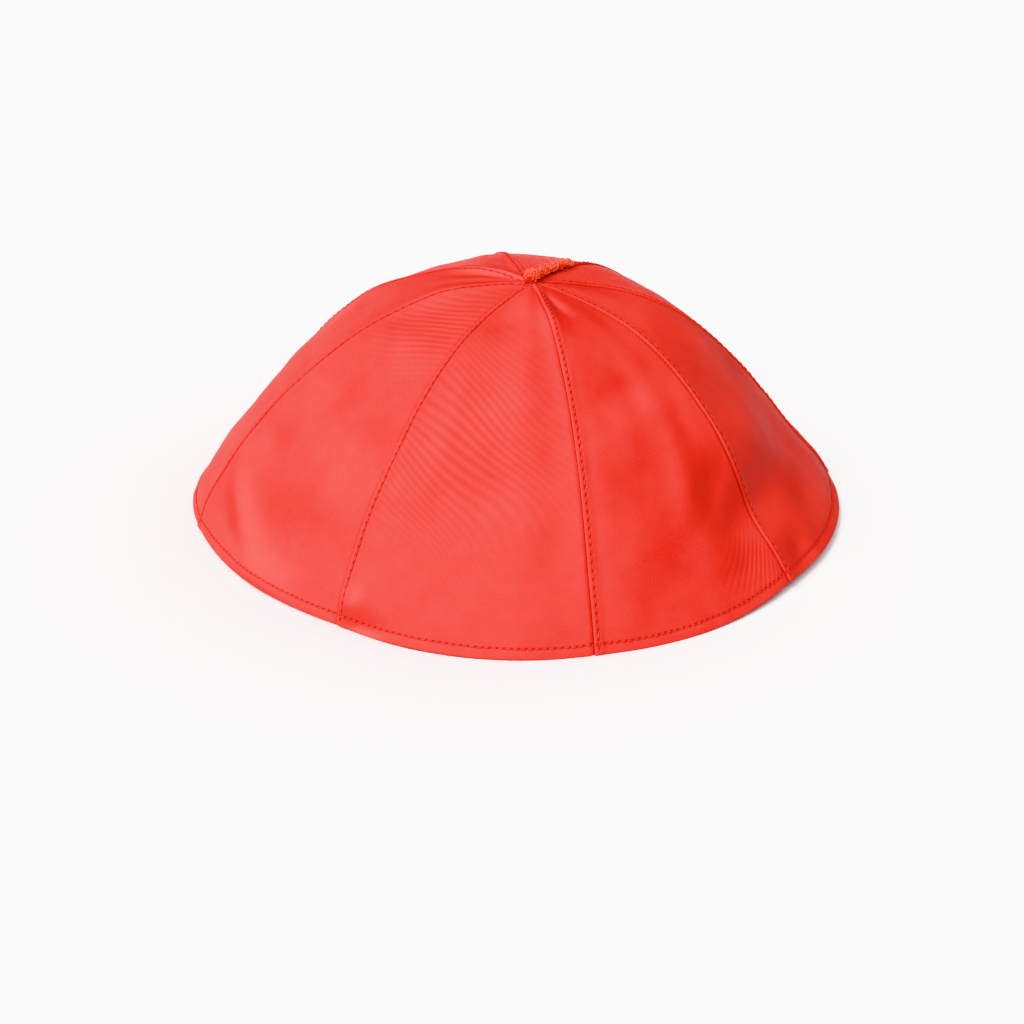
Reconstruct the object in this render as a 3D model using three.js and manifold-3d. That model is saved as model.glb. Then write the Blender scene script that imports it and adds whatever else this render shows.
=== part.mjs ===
// A skullcap of eight satin gores, each its own solid, sewn edge over edge to a point at the crown.
// Its rim is a narrow turned hem, and a fluffy thread is knotted at the crown and lies along one seam.
//
// Millimetres, +Z up, standing on z = 0. The front looks towards -Y and +X is on the right of it.
import * as THREE from 'three';
import { mergeVertices } from 'three/addons/utils/BufferGeometryUtils.js';
import Module from 'manifold-3d';

const wasm = await Module();
wasm.setup();

// Driving sizes of the cap
const RIM_DIAMETER = 180;
const CROWN_HEIGHT = 69;
const CLOTH_WALL = 1.2;
const HEM_WALL = 1.8;
const HEM_DEPTH = 8;
const HEM_STITCH_HEIGHT = 3.2;
const HEM_STITCH_WIDTH = 2;
const FOLD_STAND = 0.45;
const FOLD_WIDTH = 3.2;
const DITCH_DEPTH = 0.3;
const DITCH_WIDTH = 1.4;
const GORE_GAP = 0.3;
const CROWN_HOLE_DIAMETER = 4;
const SETTLE = 0.4;

// Driving sizes of the thread
const THREAD_THICKNESS = 2.6;
const THREAD_LENGTH = 18.2;
const KNOT_DIAMETER = 5.4;
const KNOT_HEIGHT = 3.4;
const KNOT_STEM_LENGTH = 3;
const THREAD_CLEARANCE = 0.3;

// Lengths that follow from them
const RIM_RADIUS = RIM_DIAMETER / 2;
const FULL_TURN = 360;
const FIRST_SEAM_TURN = -124.2;
const THREAD_TURN = 55;

// The cap's side line from the crown to the rim: out in rim radii, up in crown heights
const SIDE_LINE = [
  { out: 0, up: 1 },
  { out: 0.291, up: 0.958 },
  { out: 0.525, up: 0.816 },
  { out: 0.696, up: 0.625 },
  { out: 0.815, up: 0.438 },
  { out: 0.898, up: 0.269 },
  { out: 0.963, up: 0.127 },
  { out: 1, up: 0 },
];

// Each seam, anticlockwise seen from above: how far it is turned from its even place, in degrees,
// and how its line leaves the side line, in rim radii, with its lift off the floor in crown heights
const SEAMS = [
  { turn: 1.1, reach: -0.03, lift: 0.012, bow: 0.005, sway: -0.01 },
  { turn: 1.8, reach: 0.02, lift: 0, bow: 0.018, sway: 0.009 },
  { turn: -1.1, reach: -0.002, lift: 0.04, bow: -0.027, sway: 0.017 },
  { turn: 0.6, reach: 0.006, lift: 0.03, bow: -0.046, sway: 0.003 },
  { turn: -1.6, reach: 0, lift: 0.004, bow: -0.015, sway: -0.004 },
  { turn: -0.1, reach: 0.002, lift: 0, bow: 0.001, sway: 0 },
  { turn: 0.4, reach: -0.004, lift: 0.006, bow: 0.011, sway: 0.001 },
  { turn: -1, reach: -0.003, lift: 0.016, bow: 0.01, sway: -0.007 },
];

// Each gore, from the seam of the same row: its swell between the seams at the rim, in rim radii,
// and the lift of its rim there, in crown heights
const GORES = [
  { swell: 0.015, lift: 0.005 },
  { swell: -0.002, lift: -0.01 },
  { swell: -0.012, lift: 0.003 },
  { swell: 0.02, lift: 0.008 },
  { swell: 0.004, lift: 0.001 },
  { swell: 0.001, lift: 0 },
  { swell: 0.015, lift: -0.001 },
  { swell: -0.02, lift: 0.005 },
];

// How round a gore is between its seams: 0 is flat, 1 is a part of a circle about the crown
const ROUNDNESS = { crown: 0.7, waist: 0.14, rim: 1.16 };

// The crown sits a little off the middle of the rim, and the rim's middle is set on the origin
const CROWN_OFFSET = { x: 0.042, y: -0.008 };
const RIM_CENTRE = { x: 0.0057, y: 0.0068 };

// Soft folds and dents: where they lie around the cap, in gores, with seam 1 at 1 and the middle
// of its gore at 1.5, and as a share of the way down; how wide they are in gores and how long as
// a share of the way down; how far they lean around as they go down; and their rise in rim radii
const FOLDS = [
  { around: 1.06, down: 0.89, wide: 0.045, long: 0.05, lean: 0, rise: 0.009 },
  { around: 1.15, down: 0.95, wide: 0.07, long: 0.04, lean: 0, rise: -0.006 },
  { around: 1.27, down: 0.42, wide: 0.08, long: 0.12, lean: 0, rise: 0.005 },
  { around: 1.36, down: 0.13, wide: 0.3, long: 0.045, lean: 0, rise: -0.009 },
  { around: 1.6, down: 0.49, wide: 0.17, long: 0.09, lean: 0, rise: -0.008 },
  { around: 1.72, down: 0.31, wide: 0.17, long: 0.09, lean: 0, rise: 0.004 },
  { around: 1.92, down: 0.5, wide: 0.14, long: 0.4, lean: 0, rise: -0.006 },
  { around: 2.08, down: 0.13, wide: 0.17, long: 0.045, lean: 0, rise: 0.007 },
  { around: 2.27, down: 0.1, wide: 0.16, long: 0.03, lean: 0, rise: -0.006 },
  { around: 2.3, down: 0.66, wide: 0.14, long: 0.1, lean: 0, rise: 0.005 },
  { around: 2.4, down: 0.4, wide: 0.2, long: 0.07, lean: 0, rise: 0.005 },
  { around: 2.56, down: 0.31, wide: 0.3, long: 0.045, lean: 0, rise: -0.008 },
  { around: 2.66, down: 0.56, wide: 0.12, long: 0.25, lean: 0, rise: 0.006 },
  { around: 2.78, down: 0.58, wide: 0.12, long: 0.09, lean: -1.5, rise: -0.004 },
  { around: 2.8, down: 0.85, wide: 0.17, long: 0.09, lean: 0, rise: -0.005 },
  { around: 3, down: 0.13, wide: 0.5, long: 0.07, lean: 0, rise: -0.01 },
  { around: 3, down: 0.47, wide: 0.3, long: 0.1, lean: 0, rise: 0.008 },
  { around: 3, down: 0.68, wide: 0.3, long: 0.09, lean: 0, rise: -0.009 },
  { around: 3.16, down: 0.91, wide: 0.08, long: 0.09, lean: 0, rise: -0.005 },
  { around: 3.3, down: 0.55, wide: 0.25, long: 0.09, lean: 0, rise: 0.008 },
  { around: 3.52, down: 0.8, wide: 0.17, long: 0.09, lean: 0, rise: -0.005 },
  { around: 3.76, down: 0.37, wide: 0.17, long: 0.09, lean: 0, rise: 0.005 },
  { around: 4, down: 0.12, wide: 0.4, long: 0.07, lean: 0, rise: -0.008 },
  { around: 7, down: 0.07, wide: 0.3, long: 0.06, lean: 0, rise: 0.014 },
  { around: 7, down: 0.2, wide: 0.3, long: 0.07, lean: 0, rise: -0.008 },
  { around: 7.55, down: 0.1, wide: 0.2, long: 0.05, lean: 0, rise: 0.007 },
  { around: 8, down: 0.12, wide: 0.3, long: 0.07, lean: 0, rise: 0.013 },
  { around: 8.2, down: 0.57, wide: 0.1, long: 0.05, lean: 0, rise: -0.006 },
  { around: 8.28, down: 0.79, wide: 0.1, long: 0.1, lean: 1.5, rise: 0.01 },
  { around: 8.35, down: 0.4, wide: 0.2, long: 0.06, lean: 0, rise: -0.013 },
  { around: 8.46, down: 0.78, wide: 0.2, long: 0.12, lean: 0, rise: -0.013 },
  { around: 8.5, down: 0.25, wide: 0.5, long: 0.05, lean: 0, rise: 0.011 },
  { around: 8.54, down: 0.95, wide: 0.2, long: 0.08, lean: 0, rise: 0.01 },
  { around: 8.78, down: 0.46, wide: 0.2, long: 0.06, lean: 0, rise: -0.013 },
  { around: 8.76, down: 0.61, wide: 0.17, long: 0.09, lean: 0, rise: 0.01 },
];

// How finely the gores are faceted: columns as shares across, and rows down to the hem and in it
const COLUMNS = [0, 0.03, 0.08, 0.17, 0.28, 0.4, 0.52, 0.64, 0.76, 0.86, 0.94, 0.98, 1];
const ROWS_TO_HEM = 19;
const ROWS_IN_HEM = 3;
const THREAD_SIDES = 10;
const THREAD_STEPS = 10;
const THREAD_SPANS = 7;
const KNOT_SIDES = 16;
const STEP = 1e-3;

// Shares of the way down: where the wall starts to turn level for the flat rim, how far the hem's
// turned edge fades in, and how far below the hole the folds at the seams fade in
const LEVEL_FROM = 0.85;
const HEM_FADE = 0.03;
const CROWN_FADE = 0.02;

const smooth = THREE.MathUtils.smoothstep;
const lerp = THREE.MathUtils.lerp;
const sideLine = new THREE.SplineCurve(SIDE_LINE.map((p) => new THREE.Vector2(p.out, p.up)));

// The side line at a share of the way down: its radius and height, and its outward direction
function sidePoint(down) {
  const at = sideLine.getPoint(down);
  const above = sideLine.getPoint(Math.max(down - STEP, 0));
  const below = sideLine.getPoint(Math.min(down + STEP, 1));
  const outward = new THREE.Vector2(
    (above.y - below.y) * CROWN_HEIGHT,
    (below.x - above.x) * RIM_RADIUS,
  ).normalize();
  return { share: at, outward };
}

// A seam's line at a share of the way down: its turn in radians, radius and height
function seamPoint(index, down) {
  const seam = SEAMS[index % SEAMS.length];
  const { share, outward } = sidePoint(down);
  const away = RIM_RADIUS
    * (seam.bow * Math.sin(Math.PI * down) + seam.sway * Math.sin(2 * Math.PI * down));
  const turn = FIRST_SEAM_TURN + (FULL_TURN / SEAMS.length) * index + seam.turn;
  const lift = seam.lift * CROWN_HEIGHT * (1 - share.y) ** 2;
  return {
    turn: THREE.MathUtils.degToRad(turn),
    radius: RIM_RADIUS * (1 + seam.reach) * share.x + away * outward.x,
    height: CROWN_HEIGHT * share.y + lift + away * outward.y,
  };
}

// The rise of the folds and dents at a place around and down the cap
function foldRise(around, down) {
  const half = SEAMS.length / 2;
  let rise = 0;
  for (const fold of FOLDS) {
    const away = THREE.MathUtils.euclideanModulo(around - fold.around + half, SEAMS.length) - half;
    const beside = (away - fold.lean * (down - fold.down)) / fold.wide;
    const along = (down - fold.down) / fold.long;
    rise += fold.rise * RIM_RADIUS * Math.exp(-(beside ** 2) - along ** 2);
  }
  return rise;
}

// The bare outer surface of a gore, before its edges are folded, with the way that its wall faces
function goreSurface(index, across, down) {
  const from = seamPoint(index, down);
  const to = seamPoint(index + 1, down);
  const gore = GORES[index];
  const half = (to.turn - from.turn) / 2;
  const turn = lerp(from.turn, to.turn, across);
  const flat = Math.cos(half) / Math.cos(turn - from.turn - half);
  const round = ROUNDNESS.crown * (1 - down) ** 2
    + 2 * ROUNDNESS.waist * down * (1 - down)
    + ROUNDNESS.rim * down ** 2;
  const arch = 4 * across * (1 - across);
  const { outward } = sidePoint(down);
  const rise = foldRise(index + 1 + across, down);
  const radius = lerp(from.radius, to.radius, across) * (flat + (1 - flat) * round)
    + gore.swell * RIM_RADIUS * down ** 2 * arch + rise * outward.x;
  const height = lerp(from.height, to.height, across)
    + gore.lift * CROWN_HEIGHT * down ** 3 * arch + rise * outward.y;
  const level = smooth(down, LEVEL_FROM, 1);
  const faces = new THREE.Vector3(
    outward.x * Math.cos(turn),
    outward.x * Math.sin(turn),
    outward.y * (1 - level),
  ).normalize();
  const shift = RIM_RADIUS * (1 - down) ** 2;
  const point = new THREE.Vector3(
    radius * Math.cos(turn) + CROWN_OFFSET.x * shift + RIM_CENTRE.x * RIM_RADIUS,
    radius * Math.sin(turn) + CROWN_OFFSET.y * shift + RIM_CENTRE.y * RIM_RADIUS,
    Math.max(height - SETTLE, 0),
  );
  return { point, faces };
}

// The share of the way down at which the side line is a given length above the rim
function shareAboveRim(length) {
  let share = 1;
  let walked = 0;
  let last = sideLine.getPoint(1);
  while (walked < length) {
    share -= STEP;
    const next = sideLine.getPoint(share);
    walked += Math.hypot((next.x - last.x) * RIM_RADIUS, (next.y - last.y) * CROWN_HEIGHT);
    last = next;
  }
  return share;
}

// The share of the way down at which the gores leave the hole at the crown
function shareAtHole() {
  let share = 0;
  while (sideLine.getPoint(share).x * RIM_RADIUS < CROWN_HOLE_DIAMETER / 2) share += STEP / 4;
  return share;
}

const HEM_TOP = shareAboveRim(HEM_DEPTH);
const HEM_STITCH = shareAboveRim(HEM_STITCH_HEIGHT);
const HOLE_EDGE = shareAtHole();

// The outer and inner points of a gore's wall: the first edge is folded and stands proud,
// and the last one dips under the fold of the next gore
function wallPoints(index, across, down) {
  const left = goreSurface(index, 0, down).point;
  const right = goreSurface(index, 1, down).point;
  const width = left.distanceTo(right);
  const margin = GORE_GAP / 2 / width;
  const place = lerp(margin, 1 - margin, across);
  const { point, faces } = goreSurface(index, place, down);
  const proud = FOLD_STAND * (1 - smooth(place * width, 0, FOLD_WIDTH));
  const dip = DITCH_DEPTH * (1 - smooth((1 - place) * width, 0, DITCH_WIDTH));
  const rimScale = HEM_STITCH_HEIGHT / (1 - HEM_STITCH);
  const fromStitch = ((down - HEM_STITCH) * rimScale) / (HEM_STITCH_WIDTH / 2);
  const sewn = DITCH_DEPTH * Math.exp(-(fromStitch ** 2));
  const fadeIn = smooth(down, HOLE_EDGE, HOLE_EDGE + CROWN_FADE);
  const outer = point.clone().addScaledVector(faces, (proud - dip - sewn) * fadeIn);
  const wall = lerp(CLOTH_WALL, HEM_WALL, smooth(down, HEM_TOP - HEM_FADE, HEM_TOP));
  const inner = point.clone().addScaledVector(faces, -wall);
  return [outer, inner];
}

// One gore as a closed wall: outer and inner sheets joined round their four edges
function goreGeometry(index) {
  const rows = [];
  for (let i = 0; i < ROWS_TO_HEM; i += 1) rows.push(lerp(HOLE_EDGE, HEM_TOP, i / ROWS_TO_HEM));
  for (let i = 0; i <= ROWS_IN_HEM; i += 1) rows.push(lerp(HEM_TOP, 1, i / ROWS_IN_HEM));
  const positions = [];
  for (const down of rows) {
    for (const across of COLUMNS) {
      for (const p of wallPoints(index, across, down)) positions.push(p.x, p.y, p.z);
    }
  }
  const wide = COLUMNS.length;
  const at = (row, column, side) => 2 * (row * wide + column) + side;
  const faces = [];
  const quad = (a, b, c, d) => faces.push(a, b, c, a, c, d);
  for (let r = 0; r < rows.length - 1; r += 1) {
    for (let c = 0; c < wide - 1; c += 1) {
      quad(at(r, c, 0), at(r + 1, c, 0), at(r + 1, c + 1, 0), at(r, c + 1, 0));
      quad(at(r, c, 1), at(r, c + 1, 1), at(r + 1, c + 1, 1), at(r + 1, c, 1));
    }
    quad(at(r, 0, 0), at(r, 0, 1), at(r + 1, 0, 1), at(r + 1, 0, 0));
    quad(at(r, wide - 1, 0), at(r + 1, wide - 1, 0), at(r + 1, wide - 1, 1), at(r, wide - 1, 1));
  }
  const end = rows.length - 1;
  for (let c = 0; c < wide - 1; c += 1) {
    quad(at(0, c, 0), at(0, c + 1, 0), at(0, c + 1, 1), at(0, c, 1));
    quad(at(end, c, 0), at(end, c, 1), at(end, c + 1, 1), at(end, c + 1, 0));
  }
  const geometry = new THREE.BufferGeometry();
  geometry.setAttribute('position', new THREE.Float32BufferAttribute(positions, 3));
  geometry.setIndex(faces);
  geometry.computeVertexNormals();
  return geometry;
}

// A closed geometry as a solid that can be joined, and back again
function toSolid(geometry) {
  const bare = geometry.clone();
  bare.deleteAttribute('normal');
  bare.deleteAttribute('uv');
  const merged = mergeVertices(bare, STEP);
  return new wasm.Manifold(new wasm.Mesh({
    numProp: 3,
    vertProperties: new Float32Array(merged.attributes.position.array),
    triVerts: new Uint32Array(merged.index.array),
  }));
}

function toGeometry(solid) {
  const mesh = solid.getMesh();
  const geometry = new THREE.BufferGeometry();
  geometry.setAttribute('position', new THREE.BufferAttribute(mesh.vertProperties, 3));
  geometry.setIndex(new THREE.BufferAttribute(mesh.triVerts, 1));
  geometry.computeVertexNormals();
  return geometry;
}

// The seam that the thread lies along: the one whose turn is nearest to the thread's own
function threadSeam() {
  const target = THREE.MathUtils.degToRad(THREAD_TURN);
  const away = SEAMS.map((_, index) => Math.abs(seamPoint(index, 1).turn - target));
  return away.indexOf(Math.min(...away));
}

// The route of the thread: from the knot, over its own seam, to its free end
function threadRoute(knotCentre) {
  const seam = threadSeam();
  const ride = THREAD_THICKNESS / 2 + FOLD_STAND + THREAD_CLEARANCE;
  const span = THREAD_LENGTH / THREAD_SPANS;
  const points = [knotCentre];
  let down = HOLE_EDGE;
  while (points.length <= THREAD_SPANS) {
    down += STEP;
    const { point, faces } = goreSurface(seam, 0, down);
    const next = point.addScaledVector(faces, ride);
    if (next.distanceTo(points.at(-1)) > span) points.push(next);
  }
  return new THREE.CatmullRomCurve3(points);
}

// The knot over the hole at the crown, its stem down through the hole, and the loose thread
function threadGeometry() {
  const crown = goreSurface(0, 0, HOLE_EDGE).point;
  const opposite = goreSurface(GORES.length / 2, 0, HOLE_EDGE).point;
  const middle = crown.clone().add(opposite).multiplyScalar(0.5);
  const top = Math.max(...GORES.map((_, i) => wallPoints(i, 0, HOLE_EDGE)[0].z));
  const centre = new THREE.Vector3(middle.x, middle.y, top + THREAD_CLEARANCE + KNOT_HEIGHT / 2);

  const knot = new THREE.SphereGeometry(KNOT_DIAMETER / 2, KNOT_SIDES, KNOT_SIDES / 2);
  knot.rotateX(Math.PI / 2);
  knot.scale(1, 1, KNOT_HEIGHT / KNOT_DIAMETER);
  knot.translate(centre.x, centre.y, centre.z);

  const stemRadius = CROWN_HOLE_DIAMETER / 2 - THREAD_CLEARANCE - GORE_GAP;
  const stemHeight = KNOT_STEM_LENGTH + KNOT_HEIGHT / 2;
  const stem = new THREE.CylinderGeometry(stemRadius, stemRadius, stemHeight, KNOT_SIDES);
  stem.rotateX(Math.PI / 2);
  stem.translate(centre.x, centre.y, centre.z - stemHeight / 2);

  const section = new THREE.Shape();
  for (let i = 0; i < THREAD_SIDES; i += 1) {
    const angle = (2 * Math.PI * i) / THREAD_SIDES;
    const x = (THREAD_THICKNESS / 2) * Math.cos(angle);
    const y = (THREAD_THICKNESS / 2) * Math.sin(angle);
    if (i === 0) section.moveTo(x, y);
    else section.lineTo(x, y);
  }
  const thread = new THREE.ExtrudeGeometry(section, {
    extrudePath: threadRoute(centre),
    steps: THREAD_STEPS,
    bevelEnabled: false,
  });
  return toGeometry(toSolid(knot).add(toSolid(stem)).add(toSolid(thread)));
}

// The finishes: red satin, and the thread in a warmer red
function satin() {
  return new THREE.MeshStandardMaterial({ color: '#f2463b', roughness: 0.5, metalness: 0 });
}

function fluffyThread() {
  return new THREE.MeshStandardMaterial({ color: '#e2401c', roughness: 0.9, metalness: 0 });
}

function named(name, geometry, material) {
  const mesh = new THREE.Mesh(geometry, material);
  mesh.name = name;
  return mesh;
}

const cap = new THREE.Group();
for (let index = 0; index < GORES.length; index += 1) {
  cap.add(named(`panel_${index + 1}`, goreGeometry(index), satin()));
}
cap.add(named('crown_thread', threadGeometry(), fluffyThread()));

export default cap;
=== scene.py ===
"""A red satin skullcap of eight sewn gores, with its stitching, turned hem and fluffy crown thread."""
import math

import bpy
import numpy as np
from bpy.props import FloatProperty, IntProperty, PointerProperty, StringProperty
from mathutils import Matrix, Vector


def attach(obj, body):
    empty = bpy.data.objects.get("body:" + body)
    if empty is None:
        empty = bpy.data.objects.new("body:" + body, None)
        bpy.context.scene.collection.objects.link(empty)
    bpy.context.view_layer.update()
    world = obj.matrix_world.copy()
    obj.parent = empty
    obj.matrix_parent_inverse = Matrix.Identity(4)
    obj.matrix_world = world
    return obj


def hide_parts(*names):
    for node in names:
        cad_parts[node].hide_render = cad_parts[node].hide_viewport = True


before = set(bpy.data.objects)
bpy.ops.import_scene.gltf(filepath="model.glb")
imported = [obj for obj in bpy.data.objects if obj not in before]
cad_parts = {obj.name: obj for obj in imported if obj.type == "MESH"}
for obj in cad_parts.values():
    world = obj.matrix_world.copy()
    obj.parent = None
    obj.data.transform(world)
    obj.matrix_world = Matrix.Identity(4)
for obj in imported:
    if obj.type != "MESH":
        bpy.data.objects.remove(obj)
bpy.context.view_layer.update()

bl_info = {
    "name": "Satin skullcap",
    "version": (1, 0, 0),
    "blender": (4, 5, 0),
    "location": "3D View > Sidebar > Skullcap",
    "description": "Builds a sewn satin skullcap piece by piece, round its packed solids",
    "category": "Object",
}

MM = 0.001
MATH = "ShaderNodeMath"
SPLIT = "ShaderNodeSeparateXYZ"
NOISE = "ShaderNodeTexNoise"
MIX = "ShaderNodeMix"
PRINCIPLED = "ShaderNodeBsdfPrincipled"
ROOT = "root"

# The cap's side line from the crown to the rim, as shares of the rim radius and the crown height
SIDE_LINE = np.array([
    (0, 1), (0.291, 0.958), (0.525, 0.816), (0.696, 0.625),
    (0.815, 0.438), (0.898, 0.269), (0.963, 0.127), (1, 0),
])

# Each seam, anticlockwise seen from above: turn in degrees from its even place, then shares
SEAM_COLUMNS = ("turn", "reach", "lift", "bow", "sway")
SEAMS = [
    (1.1, -0.03, 0.012, 0.005, -0.01),
    (1.8, 0.02, 0, 0.018, 0.009),
    (-1.1, -0.002, 0.04, -0.027, 0.017),
    (0.6, 0.006, 0.03, -0.046, 0.003),
    (-1.6, 0, 0.004, -0.015, -0.004),
    (-0.1, 0.002, 0, 0.001, 0),
    (0.4, -0.004, 0.006, 0.011, 0.001),
    (-1, -0.003, 0.016, 0.01, -0.007),
]

# Each gore: swell of its rim between the seams in rim radii, and its lift in crown heights
GORE_COLUMNS = ("swell", "lift")
GORES = [
    (0.015, 0.005), (-0.002, -0.01), (-0.012, 0.003), (0.02, 0.008),
    (0.004, 0.001), (0.001, 0), (0.015, -0.001), (-0.02, 0.005),
]

# Soft folds and dents, placed around in gores and as a share of the way down, rise in rim radii
FOLD_COLUMNS = ("around", "down", "wide", "long", "lean", "rise")
FOLDS = [
    (1.06, 0.89, 0.045, 0.05, 0, 0.009),
    (1.15, 0.95, 0.07, 0.04, 0, -0.006),
    (1.27, 0.42, 0.08, 0.12, 0, 0.005),
    (1.36, 0.13, 0.3, 0.045, 0, -0.009),
    (1.6, 0.49, 0.17, 0.09, 0, -0.008),
    (1.72, 0.31, 0.17, 0.09, 0, 0.004),
    (1.92, 0.5, 0.14, 0.4, 0, -0.006),
    (2.08, 0.13, 0.17, 0.045, 0, 0.007),
    (2.27, 0.1, 0.16, 0.03, 0, -0.006),
    (2.3, 0.66, 0.14, 0.1, 0, 0.005),
    (2.4, 0.4, 0.2, 0.07, 0, 0.005),
    (2.56, 0.31, 0.3, 0.045, 0, -0.008),
    (2.66, 0.56, 0.12, 0.25, 0, 0.006),
    (2.78, 0.58, 0.12, 0.09, -1.5, -0.004),
    (2.8, 0.85, 0.17, 0.09, 0, -0.005),
    (3, 0.13, 0.5, 0.07, 0, -0.01),
    (3, 0.47, 0.3, 0.1, 0, 0.008),
    (3, 0.68, 0.3, 0.09, 0, -0.009),
    (3.16, 0.91, 0.08, 0.09, 0, -0.005),
    (3.3, 0.55, 0.25, 0.09, 0, 0.008),
    (3.52, 0.8, 0.17, 0.09, 0, -0.005),
    (3.76, 0.37, 0.17, 0.09, 0, 0.005),
    (4, 0.12, 0.4, 0.07, 0, -0.008),
    (7, 0.07, 0.3, 0.06, 0, 0.014),
    (7, 0.2, 0.3, 0.07, 0, -0.008),
    (7.55, 0.1, 0.2, 0.05, 0, 0.007),
    (8, 0.12, 0.3, 0.07, 0, 0.013),
    (8.2, 0.57, 0.1, 0.05, 0, -0.006),
    (8.28, 0.79, 0.1, 0.1, 1.5, 0.01),
    (8.35, 0.4, 0.2, 0.06, 0, -0.013),
    (8.46, 0.78, 0.2, 0.12, 0, -0.013),
    (8.5, 0.25, 0.5, 0.05, 0, 0.011),
    (8.54, 0.95, 0.2, 0.08, 0, 0.01),
    (8.78, 0.46, 0.2, 0.06, 0, -0.013),
    (8.76, 0.61, 0.17, 0.09, 0, 0.01),
]

# Places where the two cloth layers show as fine bands: middle, size, turn in degrees, strength
BAND_COLUMNS = ("gore", "across", "down", "wide", "long", "turn", "strength")
BANDS = [
    (1, 0.36, 0.4, 0.46, 0.2, -38, 0.75),
    (8, 0.62, 0.17, 0.5, 0.09, 20, 0.95),
    (2, 0.86, 0.84, 0.16, 0.1, 62, 0.85),
]

# Turn of the first seam in degrees, and the seam that the loose thread lies along
FIRST_SEAM_TURN = -124.2
THREAD_SEAM = 4

# Roundness of a gore between its seams at the crown, waist and rim, where 1 is a true circle
ROUNDNESS = (0.7, 0.14, 1.16)
# Shares of the rim radius: how far the crown and the rim's middle lie off the origin
CROWN_OFFSET = (0.042, -0.008)
RIM_CENTRE = (0.0057, 0.0068)
# The cap sinks by this much, and its walls turn level from this share of the way down
SETTLE = 0.4 * MM
LEVEL_FROM = 0.85

# Fine strips of a gore's mesh, beside its rim, its folded edge and its ditch: width and places
RIM_STRIP, RIM_PLACES = 2 * MM, 14
FOLD_STRIP, FOLD_PLACES = 4 * MM, 20
DITCH_STRIP, DITCH_PLACES = 3 * MM, 16
EVERY_SECOND = (slice(None, None, 2), slice(None, None, 2))

# Sewn relief of a gore, in mm: reach of its roll, fold and ditch, then reach and depths of the
# two rows of stitches, then rise, middle and reach of the soft band under the hem's row
ROLL = 0.35
STAND_FROM, STAND_TO = 0.9, 3.6
DITCH_REACH = 1.2
SEAM_ROW, SEAM_PRESS, SEAM_PULL = 0.3, 0.09, 0.15
HEM_ROW, HEM_PRESS, HEM_PULL = 0.32, 0.14, 0.16
HEM_BAND, HEM_BAND_MIDDLE, HEM_BAND_REACH = 0.16, 1.7, 1.1
# Puckers beside the stitches, in mm: rise, reach and wave, before and past a seam and at the hem
PUCKER, PUCKER_REACH, PUCKER_WAVE = 0.06, 3, 4.5
PAST_PUCKER, PAST_REACH, PAST_WAVE = 0.05, 3.5, 5
HEM_PUCKER, HEM_REACH, HEM_WAVE = 0.09, 4.5, 5
# Soft unevenness of the cloth between its seams, in mm: rise and wave
SOFT_WAVES = ((0.16, 22), (0.05, 9))
# Seam allowance inside the cap: its width, and what it adds to the wall below its start
ALLOWANCE = 7 * MM
ALLOWANCE_WALL = 0.35 * MM
ALLOWANCE_START = 12 * MM

# The loose thread: its clearance over the cloth, its sway and waves, and the turns of its knot
THREAD_CLEARANCE = 0.3 * MM
THREAD_SWAY, THREAD_WAVES = 0.25 * MM, 1.5
KNOT_TURNS, TACK_TURNS = 2.2, 5

# Side of the folds' painted light, as a turn and a rise: folds facing it are painted lighter
PAINTED_LIGHT_SIDE = (math.radians(-127), math.radians(54))
# The attributes of a gore's mesh that its material reads
PLACES = ("cloth_place", "seam_place", "hem_place", "band_and_painted_light_place")
# Fine bands: their pitch, and how many pitches they bend by over waves of this length
BAND_PITCH, BAND_BEND, BAND_WAVE = 2.2 * MM, 0.72, 40 * MM
# Size of the needle holes' dots of painted shade, along and across their row
HOLE_LENGTH = 0.42 * MM
HOLE_WIDTH = 0.26 * MM
UV_SIZE = 0.2
STITCH_LIFT = 0.1 * MM

# The stage: half the floor's width, and the point that the camera looks at
FLOOR_REACH = 40.0
CAMERA_AIM = Vector((-1.04, 0.61, -1.96)) * MM


def rows_of(columns, rows):
    """A table's rows as dicts by the names of its columns."""
    return [dict(zip(columns, row)) for row in rows]


SEAM_ROWS = rows_of(SEAM_COLUMNS, SEAMS)
GORE_ROWS = rows_of(GORE_COLUMNS, GORES)
FOLD_ROWS = rows_of(FOLD_COLUMNS, FOLDS)
BAND_ROWS = rows_of(BAND_COLUMNS, BANDS)
COUNT = len(GORE_ROWS)


# Property groups


def metres(name, description, default):
    """A length that a user can change, in metres."""
    return FloatProperty(name=name, description=description, default=default, unit="LENGTH")


class CapSizes(bpy.types.PropertyGroup):
    rim_diameter: metres("Rim diameter", "Width of the cap across its rim", 0.18)
    crown_height: metres("Crown height", "Height of the crown above the rim", 0.069)
    cloth_wall: metres("Cloth wall", "Satin and backing together", 1.2 * MM)
    hem_wall: metres("Hem wall", "Thickness of the turned hem", 1.8 * MM)
    hem_depth: metres("Hem depth", "How far the hem is turned up inside", 8 * MM)
    fold_stand: metres("Fold stand", "How far a seam's folded edge stands proud", 0.38 * MM)
    ditch_depth: metres("Ditch depth", "How far a gore dips under its neighbour's fold", 0.55 * MM)
    gore_gap: metres("Gore gap", "Clearance between two gores at their seam", 0.08 * MM)
    crown_hole: metres("Crown hole", "Opening where the tips of the gores meet", 2.6 * MM)
    mesh_step: metres("Mesh step", "Spacing of a gore's mesh in its middle", 0.85 * MM)


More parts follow.
